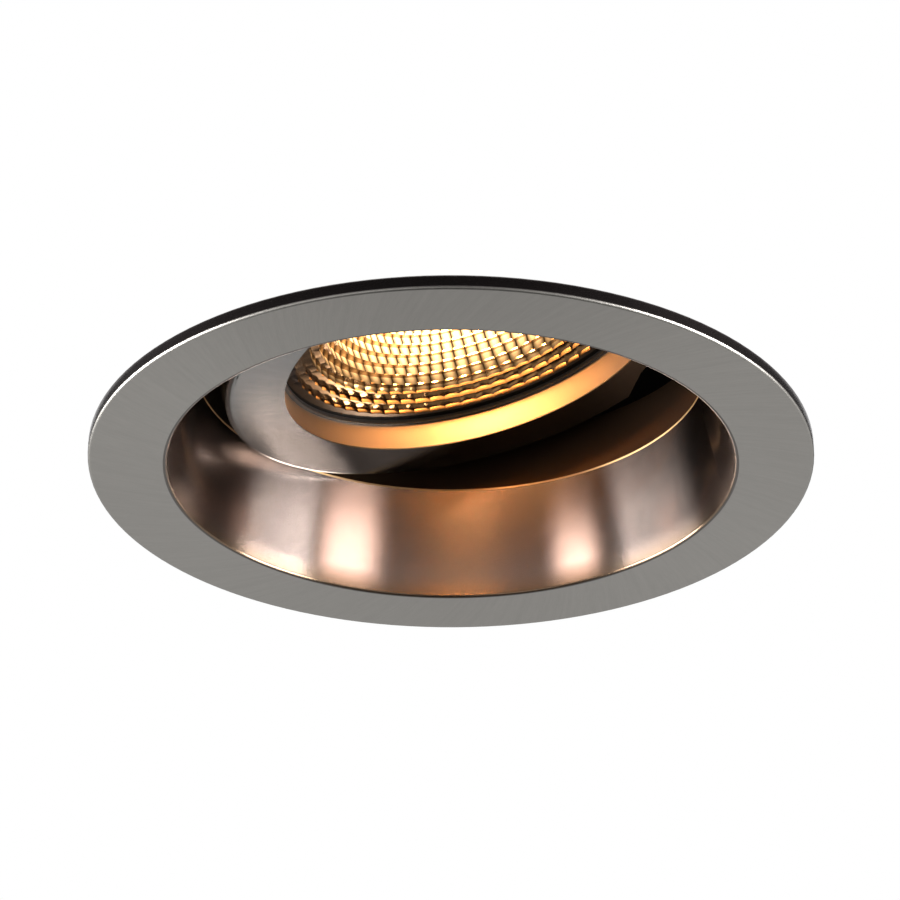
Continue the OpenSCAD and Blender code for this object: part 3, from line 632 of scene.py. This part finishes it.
flag("edge_flag", flange_r + 0.4 * mm, 150 * mm, -0.03 * mm)
flag("floor_flag", 0, 0.4, floor_flag_z)
eye_card = flag("eye_card", 0, 0.17)
low_card = flag("low_card", 0, 0.22)
# Painted shade: a dark ring over the gap between skirt and lamp, which the camera sees from below as the
# dark in the gap; it also keeps light from above out of the gap
void = disc("ceiling_void", void_in_r, void_out_r, void_z)
void.data.flip_normals()
void_paint = room_paint("painted_gap_shade", (0.004, 0.004, 0.004), white_seen=False, clear_behind=True)
void.data.materials.append(void_paint)

world = bpy.data.worlds.new("studio")
bpy.context.scene.world = world
world.use_nodes = True
n = Nodes(world.node_tree)
rays = n.add("LightPath").outputs
seen = n.step("MAXIMUM", rays["Is Camera Ray"], rays["Is Glossy Ray"])
background = n.tree.nodes["Background"].inputs
n.tree.links.new(n.spread(seen, 0, 1, 0.5, 1.0), background["Strength"])
background["Color"].default_value = (1, 1, 1, 1)


def facing_back(back, place):
    """Placement at place with a level X axis: Z is back, X is upwards x back, and Y is back x X."""
    side = np.cross([0, 0, 1], back)
    side /= np.linalg.norm(side)
    axes = np.eye(4)
    axes[:3] = np.column_stack([side, np.cross(back, side), back, place])
    return Matrix(axes.tolist())


def face_middle(made, azimuth, elevation, distance):
    """Puts a lamp or card at a distance from the object's middle, and turns its -Z side to it."""
    a, e = np.radians([azimuth, elevation])
    back = np.array([np.sin(a) * np.cos(e), -np.cos(a) * np.cos(e), np.sin(e)])
    made.matrix_world = facing_back(back, back * distance)


def softbox(name, azimuth, elevation, distance, size, radiance, lights_matt=True):
    """Oblong lamp that looks at the object's middle from the given side. Its power is its radiance
    times pi times its area. lights_matt says that it lights matt surfaces, not only mirrors."""
    lamp = bpy.data.lights.new(name, "AREA")
    lamp.shape = "RECTANGLE"
    lamp.size, lamp.size_y = size
    lamp.energy = radiance * np.pi * size[0] * size[1]
    made = bpy.data.objects.new(name, lamp)
    bpy.context.scene.collection.objects.link(made)
    face_middle(made, azimuth, elevation, distance)
    made.visible_camera = False
    made.visible_diffuse = lights_matt


softbox("left_softbox", -108, -17, 1.1, (0.8, 0.36), 60.0, lights_matt=False)
softbox("right_softbox", 66, -18, 1.1, (0.6, 0.38), 70.0, lights_matt=False)
softbox("fill_softbox", -40, -50, 1.4, (0.8, 0.8), 1.2)
softbox("upper_softbox", -40, 45, 1.4, (0.8, 0.8), 2.0)
face_middle(low_card, 66, -49, 0.8)

# ---- Camera
# Looks up at the ceiling from below and a little from the left, with a long lens. The eye card
# stands just behind it.

view_azimuth = np.radians(-11.5)
eye_from_face = np.array([0, -530.7 * mm, -279.9 * mm])
aim_from_face = np.array([-0.15 * mm, -8.1 * mm, 0])
card_share = 1.1
turn = np.array([[np.cos(view_azimuth), -np.sin(view_azimuth), 0],
                 [np.sin(view_azimuth), np.cos(view_azimuth), 0], [0, 0, 1]])
eye = turn @ eye_from_face + np.array([0, 0, flange_face_z])
aim = turn @ aim_from_face + np.array([0, 0, flange_face_z])
back = (eye - aim) / np.linalg.norm(eye - aim)
lens = bpy.data.cameras.new("camera")
lens.sensor_width = 36
lens.lens = 144.8
lens.clip_start, lens.clip_end = 0.01, 50
camera = bpy.data.objects.new("camera", lens)
bpy.context.scene.collection.objects.link(camera)
camera.matrix_world = facing_back(back, eye)
eye_card.matrix_world = facing_back(back, eye * card_share)
bpy.context.scene.camera = camera
bpy.context.scene.view_settings.view_transform = "Standard"

bpy.context.view_layer.update()
